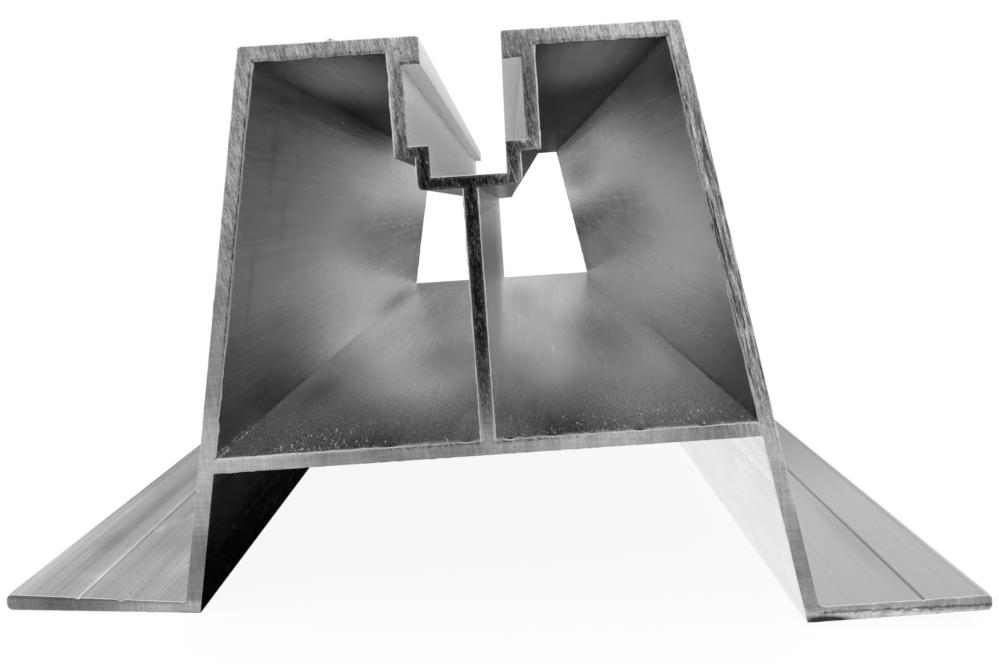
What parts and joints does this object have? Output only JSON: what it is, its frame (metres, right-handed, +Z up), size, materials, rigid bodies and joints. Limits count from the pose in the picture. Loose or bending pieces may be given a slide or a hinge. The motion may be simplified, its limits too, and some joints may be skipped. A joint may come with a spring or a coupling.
{
  "type": "aluminium extrusion profile",
  "caption": "Hollow aluminium base rail with a bolt slot along its top, sloping side walls, an inner web and two foot flanges, cut to a short length.",
  "frame": {"origin": "middle of the rail's footprint on the floor: half-way along the bar, half-way between its two toes, at floor height", "axes": "+X across the bar to the right, +Y along the bar away from the pictured end, +Z up"},
  "size_m": [0.1436, 0.33, 0.0857],
  "materials": {
    "mill_aluminium": "mill finish, die lines along the bar, sawn ends"
  },
  "bodies": {
    "root": {"rail": "mill_aluminium"}
  },
  "joints": []
}
